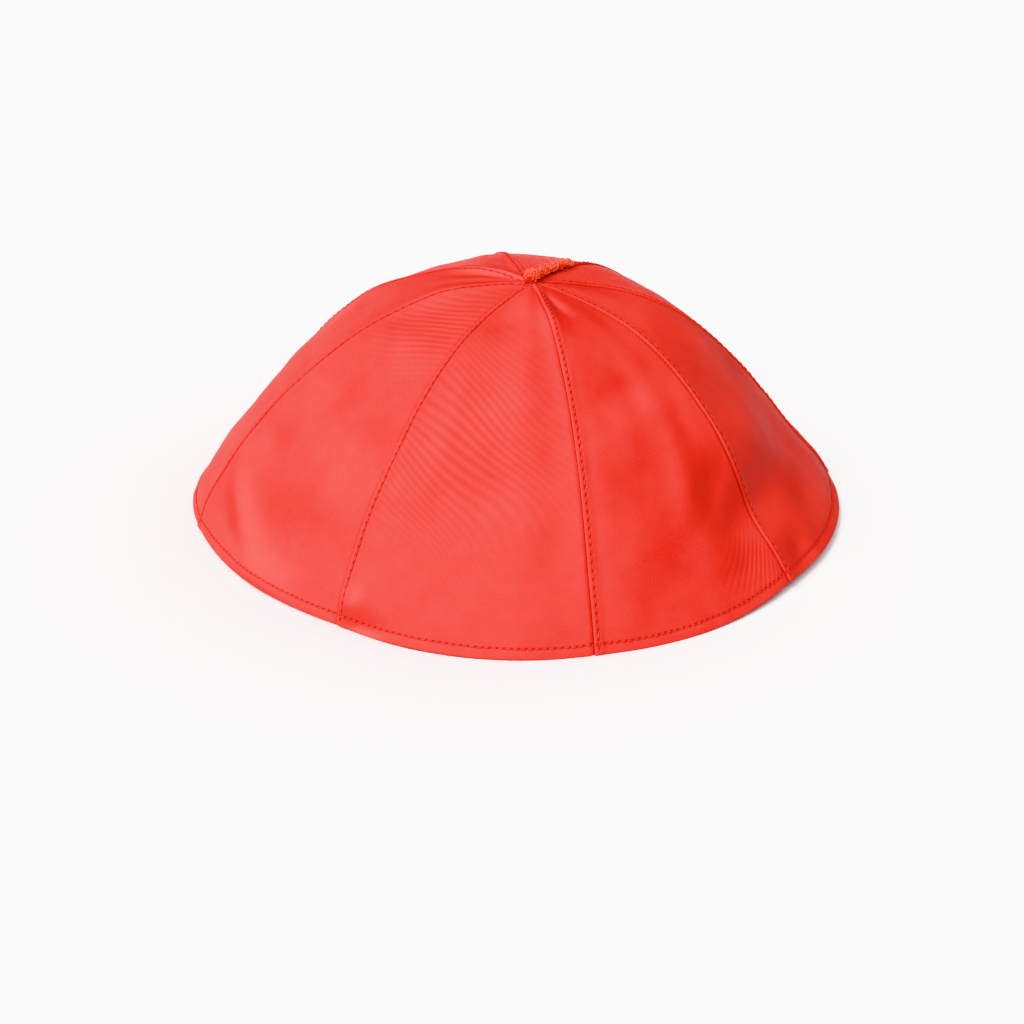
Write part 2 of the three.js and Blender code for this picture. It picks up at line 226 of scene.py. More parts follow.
class StitchSizes(bpy.types.PropertyGroup):
    seam_pitch: metres("Seam stitch", "Length from one needle hole to the next on a seam", 2.2 * MM)
    seam_offset: metres(
        "Seam stitch offset", "Distance of the stitches from the folded edge", 1.25 * MM)
    hem_pitch: metres("Hem stitch", "Length from one needle hole to the next on the hem", 1.9 * MM)
    hem_height: metres("Hem stitch height", "Distance of the stitches above the rim", 3.2 * MM)
    thread_width: metres("Sewing thread", "Width of the sewing thread", 0.36 * MM)
    cover: FloatProperty(
        name="Stitch cover", description="Share of the pitch that the thread shows on top",
        default=0.8, subtype="FACTOR")


class ThreadSizes(bpy.types.PropertyGroup):
    length: metres("Thread length", "Length of the loose crown thread", 18.6 * MM)
    thickness: metres("Thread thickness", "Width of the thread over its pile", 2.6 * MM)
    knot_diameter: metres("Knot diameter", "Width of the knot over the crown", 4.4 * MM)
    core_radius: metres("Core radius", "Radius of the yarn under the pile", 0.65 * MM)
    loop_radius: metres("Loop radius", "Radius of one loop of the pile", 0.66 * MM)
    fibre_radius: metres("Fibre radius", "Radius of the fibre that a loop is made of", 0.1 * MM)
    pile_count: IntProperty(
        name="Pile", description="Number of short fibre loops on each strand", default=620)
    seed: IntProperty(
        name="Seed", description="Seed of the pile's lay", default=7)


class CapColours(bpy.types.PropertyGroup):
    # The satin's tone runs from its deep colour to this one: the folds' painted light lightens it
    satin: StringProperty(
        name="Satin", description="Colour of the satin, sRGB hex", default="D14036")
    # Also the colour that the folds' painted shade darkens the satin towards, besides the gaps between
    # its threads
    satin_deep: StringProperty(
        name="Satin deep", description="Colour between the satin's threads", default="AC2A22")
    gloss: StringProperty(
        name="Gloss", description="Tint of the satin's gloss and sheen", default="FF8070")
    sewing: StringProperty(
        name="Sewing thread", description="Colour of the sewing thread", default="C4342A")
    # Painted shade: the dark colour that the needle holes are painted, for the shade down in them
    hole: StringProperty(
        name="Needle hole", description="Colour down in the needle holes", default="8A1A14")
    pile: StringProperty(
        name="Pile", description="Colour of the fluffy thread", default="EA4224")
    pile_tip: StringProperty(
        name="Pile tips", description="Lighter colour of some of the pile", default="FF6E46")
    floor: StringProperty(
        name="Floor", description="Colour of the studio floor", default="F6F6F6")


class StageSizes(bpy.types.PropertyGroup):
    camera_elevation: FloatProperty(
        name="Camera elevation", description="Angle that the camera looks down by",
        default=math.radians(26), subtype="ANGLE")
    camera_distance: metres("Camera distance", "Distance from the camera to its aim", 1.05)
    camera_lens: FloatProperty(
        name="Camera lens", description="Focal length on a 36 mm wide sensor, in mm",
        default=131.26)
    key_strength: FloatProperty(
        name="Key light", description="Strength of the soft light on the left, in W/m2",
        default=5.9)
    light_angle: FloatProperty(
        name="Light angle", description="How wide each soft light looks from the cap",
        default=math.radians(46), subtype="ANGLE")
    key_turn: FloatProperty(
        name="Key turn", description="Direction of the key light, anticlockwise from the right",
        default=math.radians(-148), subtype="ANGLE")
    light_elevation: FloatProperty(
        name="Light elevation", description="Height of both soft lights above the floor",
        default=math.radians(50), subtype="ANGLE")
    fill_strength: FloatProperty(
        name="Fill light", description="Strength of the soft light in front, in W/m2",
        default=1.95)
    fill_turn: FloatProperty(
        name="Fill turn", description="Direction of the fill light, anticlockwise from the right",
        default=math.radians(-80), subtype="ANGLE")
    sky_strength: FloatProperty(
        name="Sky", description="Strength of the even white surround", default=0.37)


GROUPS = {
    "cap_sizes": CapSizes,
    "cap_stitches": StitchSizes,
    "cap_thread": ThreadSizes,
    "cap_colours": CapColours,
    "cap_stage": StageSizes,
}


# Shape of the cap


def blend_step(x, low, high):
    """Smooth change from 0 at low to 1 at high."""
    t = np.clip((x - low) / (high - low), 0, 1)
    return t * t * (3 - 2 * t)


def ripple(x, y, size, seed, stretch=1.0):
    """A smooth random surface of about unit height, with waves of about one size."""
    rng = np.random.RandomState(seed)
    total = np.zeros(np.broadcast(x, y).shape)
    waves = 9
    for _ in range(waves):
        angle = rng.uniform(0, math.tau)
        length = size * rng.uniform(0.7, 1.5)
        phase = rng.uniform(0, math.tau)
        along = x * math.cos(angle) * stretch + y * math.sin(angle)
        total = total + np.sin(math.tau * along / length + phase)
    return total / math.sqrt(waves / 2)


def side_line(down):
    """The side line at a share of the way down, through its rows as a smooth curve."""
    last = len(SIDE_LINE) - 1
    place = down * last
    row = np.minimum(np.floor(place).astype(int), last - 1)
    t = (place - row)[..., None]
    a = SIDE_LINE[np.maximum(row - 1, 0)]
    b = SIDE_LINE[row]
    c = SIDE_LINE[np.minimum(row + 1, last)]
    d = SIDE_LINE[np.minimum(row + 2, last)]
    start = (c - a) / 2
    end = (d - b) / 2
    return (
        (2 * b - 2 * c + start + end) * t ** 3
        + (-3 * b + 3 * c - 2 * start - end) * t ** 2
        + start * t + b
    )


def direction(turn, rise):
    """A unit direction from its turn round the cap and its rise."""
    return math.cos(turn) * math.cos(rise), math.sin(turn) * math.cos(rise), math.sin(rise)


def walked_along(points, axis):
    """Length walked along one axis of a grid of points, from its first row or column."""
    step = np.linalg.norm(np.diff(points, axis=axis), axis=-1)
    start = np.zeros_like(np.take(step, [0], axis=axis))
    return np.concatenate([start, np.cumsum(step, axis=axis)], axis=axis)


class CapShape:
    """The bare outer surface of the cap, worked out from its sizes and the tables above."""

    def __init__(self, sizes):
        self.radius = sizes.rim_diameter / 2
        self.height = sizes.crown_height

    def outward(self, down):
        step = 1e-3
        above = side_line(np.maximum(down - step, 0))
        below = side_line(np.minimum(down + step, 1))
        out = (above[..., 1] - below[..., 1]) * self.height
        up = (below[..., 0] - above[..., 0]) * self.radius
        length = np.hypot(out, up)
        return out / length, up / length

    def seam(self, index, down):
        """A seam's turn, radius and height at shares of the way down."""
        row = SEAM_ROWS[index % COUNT]
        share = side_line(down)
        out, up = self.outward(down)
        bow = row["bow"] * np.sin(math.pi * down) + row["sway"] * np.sin(2 * math.pi * down)
        away = self.radius * bow
        turn = math.radians(FIRST_SEAM_TURN + 360 / COUNT * index + row["turn"])
        lift = row["lift"] * self.height * (1 - share[..., 1]) ** 2
        radius = self.radius * (1 + row["reach"]) * share[..., 0] + away * out
        return turn, radius, self.height * share[..., 1] + lift + away * up

    def fold_rise(self, around, down):
        rise = 0
        for fold in FOLD_ROWS:
            away = np.mod(around - fold["around"] + COUNT / 2, COUNT) - COUNT / 2
            beside = (away - fold["lean"] * (down - fold["down"])) / fold["wide"]
            along = (down - fold["down"]) / fold["long"]
            rise = rise + fold["rise"] * self.radius * np.exp(-beside ** 2 - along ** 2)
        return rise

    def gore(self, index, across, down, folded=True):
        """Points of a gore's outer surface, and the way that its wall faces."""
        turn_a, radius_a, height_a = self.seam(index, down)
        turn_b, radius_b, height_b = self.seam(index + 1, down)
        row = GORE_ROWS[index]
        half = (turn_b - turn_a) / 2
        turn = turn_a + (turn_b - turn_a) * across
        flat = math.cos(half) / np.cos(turn - turn_a - half)
        crown, waist, rim = ROUNDNESS
        round_ = crown * (1 - down) ** 2 + 2 * waist * down * (1 - down) + rim * down ** 2
        arch = 4 * across * (1 - across)
        out, up = self.outward(down)
        rise = self.fold_rise(index + 1 + across, down) if folded else 0 * down
        radius = (radius_a + (radius_b - radius_a) * across) * (flat + (1 - flat) * round_)
        radius = radius + row["swell"] * self.radius * down ** 2 * arch + rise * out
        height = height_a + (height_b - height_a) * across
        height = height + row["lift"] * self.height * down ** 3 * arch + rise * up
        level = blend_step(down, LEVEL_FROM, 1)
        faces = np.stack([out * np.cos(turn), out * np.sin(turn), up * (1 - level) + 0 * turn], -1)
        faces /= np.linalg.norm(faces, axis=-1, keepdims=True)
        shift = self.radius * (1 - down) ** 2
        point = np.stack([
            radius * np.cos(turn) + CROWN_OFFSET[0] * shift + RIM_CENTRE[0] * self.radius,
            radius * np.sin(turn) + CROWN_OFFSET[1] * shift + RIM_CENTRE[1] * self.radius,
            np.maximum(height - SETTLE, 0),
        ], -1)
        return point, faces

    def down_at(self, above_rim):
        """Shares of the way down at lengths above the rim along the side line."""
        share = np.linspace(1, 0, 2001)
        walked = walked_along(side_line(share) * (self.radius, self.height), 0)
        return np.interp(above_rim, walked, share)

    def line_length(self, down_from):
        share = np.linspace(down_from, 1, 2001)
        line = side_line(share) * (self.radius, self.height)
        return float(np.linalg.norm(np.diff(line, axis=0), axis=1).sum())


def graded(length, count):
    """Places from 0 up to a length, close together at 0."""
    return length * (np.arange(count) / count) ** 2


def odd_count(places, spot):
    """The places, with one more halfway before a spot where their count is even."""
    if len(places) % 2:
        return places
    return np.insert(places, spot, (places[spot - 1] + places[spot]) / 2)


def surface_normals(points):
    """Outward unit normals of a grid of points, with rows down and columns anticlockwise."""
    normals = np.cross(np.gradient(points, axis=0), np.gradient(points, axis=1))
    return normals / np.linalg.norm(normals, axis=-1, keepdims=True)


class GoreMesh:
    """One gore's fine outer sheet and its coarser inner sheet, with the places on them."""

    def __init__(self, shape, sizes, stitches, index):
        self.index = index
        self.sizes = sizes
        self.stitches = stitches
        self.shape = shape
        crown = np.linspace(0, 0.2, 400)
        hole = np.interp(sizes.crown_hole / 2, side_line(crown)[:, 0] * shape.radius, crown)
        length = shape.line_length(hole)
        rest = np.arange(RIM_STRIP, length, sizes.mesh_step)
        above = np.concatenate([graded(RIM_STRIP, RIM_PLACES), rest, [length]])
        above = odd_count(above, len(above) - 1)
        self.down = shape.down_at(above)[::-1].copy()
        self.down[0] = hole
        rim_width = shape.radius * math.tau / COUNT
        first = graded(FOLD_STRIP, FOLD_PLACES)
        last = rim_width - graded(DITCH_STRIP, DITCH_PLACES)[::-1]
        middle = np.arange(FOLD_STRIP, rim_width - DITCH_STRIP, sizes.mesh_step)
        across = np.concatenate([first, middle, last]) / rim_width
        self.across = across = odd_count(across, len(across) // 2)
        across, down = np.meshgrid(self.across, self.down)
        edge_a, _ = shape.gore(index, 0 * self.down, self.down)
        edge_b, _ = shape.gore(index, 0 * self.down + 1, self.down)
        self.width = np.linalg.norm(edge_a - edge_b, axis=-1)[:, None]
        margin = sizes.gore_gap / 2 / self.width
        place = margin + (1 - 2 * margin) * across
        self.place, self.rows = place, down
        self.sideways = (place - 0.5) * self.width
        self.base, self.faces = shape.gore(index, place, down)
        self.from_first = place * self.width
        self.from_last = (1 - place) * self.width
        along = walked_along(self.base, 0)
        self.above_rim = along[-1:] - along
        self.seam_walk = along[:, :1] + 0 * across
        self.seam_length = float(along[-1, 0])
        self.seam_count = round(self.seam_length / stitches.seam_pitch)
        self.seam_number = self.seam_walk / self.seam_length * self.seam_count
        hem_row = int(np.argmin(np.abs(self.above_rim[:, 0] - stitches.hem_height)))
        hem_walk = walked_along(self.base[hem_row:hem_row + 1], 1)
        self.hem_walk = hem_walk + 0 * across
        self.hem_length = float(hem_walk[0, -1])

    def number_hem(self, start, total):
        """Counts this gore's hem stitches on from the gores before it."""
        self.hem_count = round(total / self.stitches.hem_pitch)
        self.hem_number = (start + self.hem_walk) / total * self.hem_count

    def relief(self):
        """Height of the sewn detail above the bare surface."""
        # Below, d and e are distances from the gore's two seams, and h is the height up its side
        s, t = self.sizes, self.stitches
        d, e, h = self.from_first, self.from_last, self.above_rim
        number, hem_number = self.seam_number, self.hem_number
        seed = 10 * self.index
        fade = blend_step(self.seam_walk, 1 * MM, 7 * MM)
        pull = 0.5 + 0.5 * np.cos(math.tau * number)
        hem_pull = 0.5 - 0.5 * np.cos(math.tau * hem_number)

        # The folded edge: a small roll, standing proud and pressed down by the stitches
        roll = ROLL * MM
        near = np.minimum(d, roll)
        rolled = np.sqrt(np.maximum(roll ** 2 - (roll - near) ** 2, 0)) - roll
        stand = s.fold_stand * (1 - blend_step(d, STAND_FROM * MM, STAND_TO * MM))
        row = np.exp(-((d - t.seam_offset) / (SEAM_ROW * MM)) ** 2)
        sewn = -row * (SEAM_PRESS + SEAM_PULL * pull) * MM
        ditch = -s.ditch_depth * np.clip(1 - e / (DITCH_REACH * MM), 0, 1) ** 2

        # Small puckers that run across the seam from its stitches
        tuck = np.exp(-np.maximum(d - t.seam_offset, 0) / (PUCKER_REACH * MM))
        tuck = PUCKER * tuck * (d > t.seam_offset)
        pucker = tuck * ripple(self.seam_walk, d, PUCKER_WAVE * MM, seed + 1, 0.35)
        beyond = PAST_PUCKER * np.exp(-e / (PAST_REACH * MM))
        pucker += beyond * ripple(self.seam_walk, e, PAST_WAVE * MM, seed + 2, 0.35)

        # The hem: a soft band under its stitches, and puckers that run up from them
        hem_row = np.exp(-((h - t.hem_height) / (HEM_ROW * MM)) ** 2)
        hem_sewn = -hem_row * (HEM_PRESS + HEM_PULL * hem_pull) * MM
        from_middle = (h - HEM_BAND_MIDDLE * MM) / (HEM_BAND_REACH * MM)
        band = HEM_BAND * MM * np.exp(-from_middle ** 2)
        over = np.maximum(h - t.hem_height, 0)
        hem_pucker = HEM_PUCKER * np.exp(-over / (HEM_REACH * MM)) * blend_step(h, 0, 2 * MM)
        hem_pucker *= ripple(hem_number * t.hem_pitch, h, HEM_WAVE * MM, seed + 3, 0.5)

        # The cloth between its seams is never quite even
        soft = 0
        for k, (rise, wave) in enumerate(SOFT_WAVES):
            soft = soft + rise * ripple(self.sideways, self.seam_walk, wave * MM, seed + 4 + k)
        middle = blend_step(d, 0, 8 * MM) * blend_step(e, 0, 8 * MM)
        middle = middle * blend_step(h, 1 * MM, 10 * MM)

        sewing = (stand + sewn + ditch + pucker * MM + soft * middle * MM) * fade
        return sewing + rolled + hem_sewn + band + hem_pucker * MM + self.rim_roll(h)

    def rim_roll(self, height):
        """Rounds the turned rim over half its thickness."""
        radius = self.sizes.hem_wall / 2
        near = np.minimum(height, radius)
        return np.sqrt(np.maximum(radius ** 2 - (radius - near) ** 2, 0)) - radius * 0.95

    def outer(self):
        return self.base + self.faces * self.relief()[..., None]

    def inner(self):
        """Every second place of the grid, moved in by the wall, hem and seam allowances."""
        s = self.sizes
        base, faces, h, d, e, walk = [field[EVERY_SECOND] for field in (
            self.base, self.faces, self.above_rim, self.from_first, self.from_last,
            self.seam_walk)]
        hem = 1 - blend_step(h, s.hem_depth - 0.6 * MM, s.hem_depth)
        wall = s.cloth_wall + (s.hem_wall - s.cloth_wall) * hem
        flap = 1 - blend_step(np.minimum(d, e), ALLOWANCE - 0.5 * MM, ALLOWANCE)
        wall = wall + ALLOWANCE_WALL * flap * (1 - hem) * blend_step(walk, 0, ALLOWANCE_START)
        wall = wall + self.rim_roll(h)
        return base - faces * wall[..., None]

    def sheen(self):
        """Painted light and shade: how much the folds turn the cloth more towards the painted light's
        side.
        """
        plain, _ = self.shape.gore(self.index, self.place, self.rows, False)
        side = direction(*PAINTED_LIGHT_SIDE)
        return surface_normals(self.base) @ side - surface_normals(plain) @ side

    def bands(self):
        """Strength and count of the fine bands at each place."""
        x, y = self.sideways, self.seam_walk
        strength = np.zeros_like(x)
        number = np.zeros_like(x)
        for row in BAND_ROWS:
            if row["gore"] != self.index + 1:
                continue
            beside = (self.place - row["across"]) / row["wide"]
            along = (self.rows - row["down"]) / row["long"]
            strength = row["strength"] * np.exp(-beside ** 2 - along ** 2)
            turn = math.radians(row["turn"])
            bend = BAND_BEND * ripple(x, y, BAND_WAVE, 90 + self.index)
            number = (x * math.sin(turn) + y * math.cos(turn)) / BAND_PITCH + bend
        return strength, number


def ring(rows, columns):
    """Grid places round the rim of a grid, in order, as row and column indices."""
    r = np.arange(rows)
    c = np.arange(columns)
    top = [(0, j) for j in c[:-1]]
    right = [(i, columns - 1) for i in r[:-1]]
    bottom = [(rows - 1, j) for j in c[:0:-1]]
    left = [(i, 0) for i in r[:0:-1]]
    return top + right + bottom + left


def grid_faces(rows, columns, first, outward):
    i, j = np.meshgrid(np.arange(rows - 1), np.arange(columns - 1), indexing="ij")
    a = first + i * columns + j
    quad = [a, a + columns, a + columns + 1, a + 1]
    if not outward:
        quad = quad[::-1]
    return np.stack(quad, -1).reshape(-1, 4).tolist()


def new_object(name, data):
    made = bpy.data.objects.new(name, data)
    bpy.context.scene.collection.objects.link(made)
    return made


def make_gore(name, gore, material):
    """A gore as one closed mesh, with its seam, hem, cloth and band places and its folds' painted
    light as attributes.
    """
    outer, inner = gore.outer(), gore.inner()
    rows, columns = outer.shape[:2]
    few_rows, few_columns = inner.shape[:2]
    count = rows * columns
    faces = grid_faces(rows, columns, 0, True)
    faces += grid_faces(few_rows, few_columns, count, False)
    fine = [i * columns + j for i, j in ring(rows, columns)]
    coarse = [count + i * few_columns + j for i, j in ring(few_rows, few_columns)]
    for k, near in enumerate(coarse):
        a, b, c = fine[2 * k], fine[2 * k + 1], fine[(2 * k + 2) % len(fine)]
        beyond = coarse[(k + 1) % len(coarse)]
        faces += [(a, b, near), (b, beyond, near), (b, c, beyond)]
    mesh = bpy.data.meshes.new(name)
    points = np.concatenate([outer.reshape(-1, 3), inner.reshape(-1, 3)])
    mesh.from_pydata(points.tolist(), [], faces)

    def both(*fields):
        """Fields of the outer grid, at its own places and then at the inner sheet's."""
        return [np.concatenate([field.ravel(), field[EVERY_SECOND].ravel()]) for field in fields]

    side = np.concatenate([np.ones(count), np.zeros(few_rows * few_columns)])
    cloth = both(gore.sideways, gore.seam_walk)
    # The last attribute holds the band strength and count, then the folds' painted light and shade
    for place, values in zip(PLACES, (
            [*cloth, 0 * side],
            both(gore.from_first, gore.seam_number, gore.from_last),
            [*both(gore.hem_number, gore.above_rim), side],
            both(*gore.bands(), gore.sheen()))):
        layer = mesh.attributes.new(place, "FLOAT_VECTOR", "POINT")
        layer.data.foreach_set("vector", np.stack(values, -1).astype(np.float32).ravel())
    loops = np.zeros(len(mesh.loops), dtype=np.int32)
    mesh.loops.foreach_get("vertex_index", loops)
    spread = np.stack(cloth, -1)[loops] / UV_SIZE + (0.5, 0)
    uv = mesh.uv_layers.new(name="cloth")
    uv.data.foreach_set("uv", spread.astype(np.float32).ravel())
    mesh.polygons.foreach_set("use_smooth", np.ones(len(mesh.polygons), dtype=bool))
    mesh.materials.append(material)
    mesh.validate()
    mesh.update()
    return new_object(name, mesh)


# Materials


def linear(code):
    """An sRGB hex colour as linear red, green, blue and alpha."""
    parts = [int(code[i:i + 2], 16) / 255 for i in (0, 2, 4)]
    return [p / 12.92 if p <= 0.04045 else ((p + 0.055) / 1.055) ** 2.4 for p in parts] + [1]


def add(tree, kind, inputs=None, **settings):
    """Adds a node with its settings; each input takes a node, a socket or a value."""
    node = tree.nodes.new(kind)
    for key, value in settings.items():
        setattr(node, key, value)
    for key, value in (inputs or {}).items():
        if isinstance(value, bpy.types.Node):
            tree.links.new(value.outputs[0], node.inputs[key])
        elif isinstance(value, bpy.types.NodeSocket):
            tree.links.new(value, node.inputs[key])
        else:
            node.inputs[key].default_value = value
    return node


def start_material(name):
    material = bpy.data.materials.new(name)
    material.use_nodes = True
    material.node_tree.nodes.clear()
    return material, material.node_tree


def satin_material(colours, stitches):
    """Polyester satin: long floats give a soft broad gloss, and the weave barely shows."""
    material, tree = start_material("woven_polyester_satin")
    places = [add(tree, "ShaderNodeAttribute", attribute_name=name).outputs["Vector"]
              for name in PLACES]
    cloth, seam, hem, band = [add(tree, SPLIT, {0: place}) for place in places]

    # Threads 0.2 mm apart would be too fine to show, so the weave is drawn at 0.74 mm
    thread = 0.74 * MM
    wander = add(tree, NOISE, {
        "Vector": places[0], "Scale": 90.0, "Detail": 2.0})
    shift = add(tree, MATH, {0: wander, 1: 9.0}, operation="MULTIPLY")
    turns = math.tau / thread
    warp = add(tree, MATH, {0: cloth.outputs[0], 1: turns, 2: shift}, operation="MULTIPLY_ADD")
    weft = add(tree, MATH, {0: cloth.outputs[1], 1: turns, 2: shift}, operation="MULTIPLY_ADD")
    ridge_x = add(tree, MATH, {0: warp}, operation="SINE")
    ridge_y = add(tree, MATH, {0: weft}, operation="SINE")
    weave = add(tree, MATH, {0: ridge_x, 1: ridge_y}, operation="MULTIPLY")

    # Where two layers lie close, their threads show as fine wandering bands
    count = add(tree, MATH, {0: band.outputs[1], 1: math.tau}, operation="MULTIPLY")
    wave = add(tree, MATH, {0: count}, operation="SINE")
    bands = add(tree, MATH, {0: wave, 1: band.outputs[0]}, operation="MULTIPLY")

    # Needle holes: small dots of painted shade at whole stitch numbers on the seam and hem rows
    def holes(number, start, pitch, across, centre):
        turned = add(tree, MATH, {0: number, 1: math.tau, 2: start * math.tau},
                     operation="MULTIPLY_ADD")
        swing = add(tree, MATH, {0: turned}, operation="COSINE")
        sharp = (pitch / math.tau / HOLE_LENGTH) ** 2
        along = add(tree, MATH, {0: swing, 1: 2 * sharp, 2: -2 * sharp}, operation="MULTIPLY_ADD")
        beside = add(tree, MATH, {0: across, 1: centre}, operation="SUBTRACT")
        share = add(tree, MATH, {0: beside, 1: HOLE_WIDTH}, operation="DIVIDE")
        square = add(tree, MATH, {0: share, 1: share}, operation="MULTIPLY")
        far = add(tree, MATH, {0: along, 1: square}, operation="SUBTRACT")
        return add(tree, MATH, {0: far}, operation="EXPONENT")

    seam_hole_shade = holes(seam.outputs[1], 0, stitches.seam_pitch,
                       seam.outputs[0], stitches.seam_offset)
    hem_hole_shade = holes(hem.outputs[0], 0.5, stitches.hem_pitch,
                      hem.outputs[1], stitches.hem_height)
    dark = add(tree, MATH, {0: seam_hole_shade, 1: hem_hole_shade}, operation="MAXIMUM")

    # Tone from 0, deep, to 1, light: weave, bands, 36 mm clouds, 6 mm mottling, and painted light and
    # shade on the folds
    cloud = add(tree, NOISE, {
        "Vector": places[0], "Scale": 28.0, "Detail": 3.0, "Roughness": 0.5})
    mottle = add(tree, NOISE, {
        "Vector": places[0], "Scale": 170.0, "Detail": 4.0, "Roughness": 0.6})
    tone = -0.02
    # The last pattern is painted light and shade: folds facing the painted light's side get lighter,
    # the others darker
    for pattern, share in ((weave, 0.3), (bands, 0.28), (cloud, 0.42), (mottle, 0.4),
                           (band.outputs[2], 6.3)):
        tone = add(tree, MATH, {0: pattern, 1: share, 2: tone}, operation="MULTIPLY_ADD")
    colour = add(tree, MIX, {
        "Factor": tone, "A": linear(colours.satin_deep), "B": linear(colours.satin)},
        data_type="RGBA")
    # The holes are painted towards the dark hole colour as painted shade, and pressed in below by the
    # bump
    depth = add(tree, MATH, {0: dark, 1: 0.8}, operation="MULTIPLY")
    with_hole_shade = add(tree, MIX, {
        "Factor": depth, "A": colour.outputs["Result"], "B": linear(colours.hole)},
        data_type="RGBA")

    height = 0.0
    for pattern, rise in ((weave, 0.02 * MM), (bands, 0.05 * MM), (dark, -0.2 * MM)):
        height = add(tree, MATH, {0: pattern, 1: rise, 2: height}, operation="MULTIPLY_ADD")
    bump = add(tree, "ShaderNodeBump", {"Height": height, "Distance": 1.0})
    tangent = add(tree, "ShaderNodeTangent", direction_type="UV_MAP", uv_map="cloth")
    shader = add(tree, PRINCIPLED, {
        "Base Color": with_hole_shade.outputs["Result"], "Normal": bump, "Tangent": tangent,
        "Roughness": 0.5, "IOR": 1.5, "Anisotropic": 0.4, "Specular IOR Level": 0.05,
        "Specular Tint": linear(colours.gloss), "Sheen Weight": 0.02,
        "Sheen Roughness": 0.4, "Sheen Tint": linear(colours.gloss)})
    add(tree, "ShaderNodeOutputMaterial", {"Surface": shader})
    return material


def sewing_material(colours):
    """Twisted polyester sewing thread: a little glossier than the satin, with a fine twist."""
    material, tree = start_material("twisted_polyester_sewing_thread")
    where = add(tree, "ShaderNodeTexCoord")
    twist = add(tree, NOISE, {
        "Vector": where.outputs["Object"], "Scale": 2600.0, "Detail": 1.0})
    colour = add(tree, MIX, {
        "Factor": twist, "A": linear(colours.satin_deep), "B": linear(colours.sewing)},
        data_type="RGBA")
    lift = add(tree, MATH, {0: twist, 1: 0.015 * MM}, operation="MULTIPLY")
    bump = add(tree, "ShaderNodeBump", {"Height": lift, "Distance": 1.0})
    shader = add(tree, PRINCIPLED, {
        "Base Color": colour.outputs["Result"], "Normal": bump,
        "Roughness": 0.6, "Specular IOR Level": 0.12})
    add(tree, "ShaderNodeOutputMaterial", {"Surface": shader})
    return material


def pile_material(colours):
    """Fluffy acrylic pile: matte loops whose tips catch the light in a warmer red."""
    material, tree = start_material("fluffy_acrylic_pile")
    where = add(tree, "ShaderNodeTexCoord")
    mottle = add(tree, NOISE, {
        "Vector": where.outputs["Object"], "Scale": 1400.0, "Detail": 2.0})
    colour = add(tree, MIX, {
        "Factor": mottle, "A": linear(colours.pile), "B": linear(colours.pile_tip)},
        data_type="RGBA")
    shader = add(tree, PRINCIPLED, {
        "Base Color": colour.outputs["Result"], "Roughness": 0.8, "Specular IOR Level": 0.2})
    add(tree, "ShaderNodeOutputMaterial", {"Surface": shader})
    return material


# Geometry Nodes


def new_tree(name, inputs):
    """A node group with a geometry in and out and named inputs, and what it is given."""
    tree = bpy.data.node_groups.new(name, "GeometryNodeTree")
    tree.interface.new_socket("Geometry", in_out="INPUT", socket_type="NodeSocketGeometry")
    for label, kind in inputs.items():
        tree.interface.new_socket(label, in_out="INPUT", socket_type=kind)
    tree.interface.new_socket("Geometry", in_out="OUTPUT", socket_type="NodeSocketGeometry")
    return tree, tree.nodes.new("NodeGroupInput").outputs


def end_tree(tree, made, given):
    """Makes a tree's instances real, shades them smooth and gives them its material."""
    real = add(tree, "GeometryNodeRealizeInstances", {"Geometry": made})
    smooth = add(tree, "GeometryNodeSetShadeSmooth", {"Geometry": real})
    coloured = add(tree, "GeometryNodeSetMaterial", {
        "Geometry": smooth, "Material": given["Material"]})
    add(tree, "NodeGroupOutput", {"Geometry": coloured})
    return tree


def run_tree(name, paths, tree, values):
    """Runs a tree on chains of edges and returns the result as a plain mesh object."""
    points, edges = [], []
    for path in paths:
        start = len(points)
        closed = np.allclose(path[0], path[-1])
        kept = path[:-1] if closed else path
        points += [tuple(p) for p in kept]
        edges += [(start + i, start + i + 1) for i in range(len(kept) - 1)]
        if closed:
            edges.append((start + len(kept) - 1, start))
    mesh = bpy.data.meshes.new(name + "_path")
    mesh.from_pydata(points, edges, [])
    source = new_object(name + "_path", mesh)
    modifier = source.modifiers.new("Build", "NODES")
    modifier.node_group = tree
    for item in tree.interface.items_tree:
        if item.item_type == "SOCKET" and item.in_out == "INPUT" and item.name in values:
            modifier[item.identifier] = values[item.name]
    bpy.context.view_layer.update()
    graph = bpy.context.evaluated_depsgraph_get()
    made = bpy.data.meshes.new_from_object(source.evaluated_get(graph))
    made.name = name
    made.materials.clear()
    made.materials.append(values["Material"])
    made.polygons.foreach_set("material_index", np.zeros(len(made.polygons), dtype=np.int32))
    bpy.data.objects.remove(source)
    bpy.data.meshes.remove(mesh)
    return new_object(name, made)


def points_at(where, places, points):
    """The point at one place, or at several, on a line of points with rising places."""
    return np.stack([np.interp(where, places, points[:, k]) for k in range(3)], -1)


def stitch_tree():
    """A short length of thread at each point of a path, laid along it."""
    tree, given = new_tree("stitch_row", {
        "Stitch Length": "NodeSocketFloat", "Thread Width": "NodeSocketFloat",
        "Material": "NodeSocketMaterial"})
    curve = add(tree, "GeometryNodeMeshToCurve", {"Mesh": given["Geometry"]})
    spots = add(tree, "GeometryNodeCurveToPoints", {"Curve": curve}, mode="EVALUATED")
    ball = add(tree, "GeometryNodeMeshUVSphere", {"Segments": 8, "Rings": 6, "Radius": 0.5})
    size = add(tree, "ShaderNodeCombineXYZ", {
        "X": given["Thread Width"], "Y": given["Thread Width"], "Z": given["Stitch Length"]})
    stitch = add(tree, "GeometryNodeTransform", {"Geometry": ball, "Scale": size})
    rows = add(tree, "GeometryNodeInstanceOnPoints", {
        "Points": spots, "Instance": stitch, "Rotation": spots.outputs["Rotation"]})
    return end_tree(tree, rows, given)


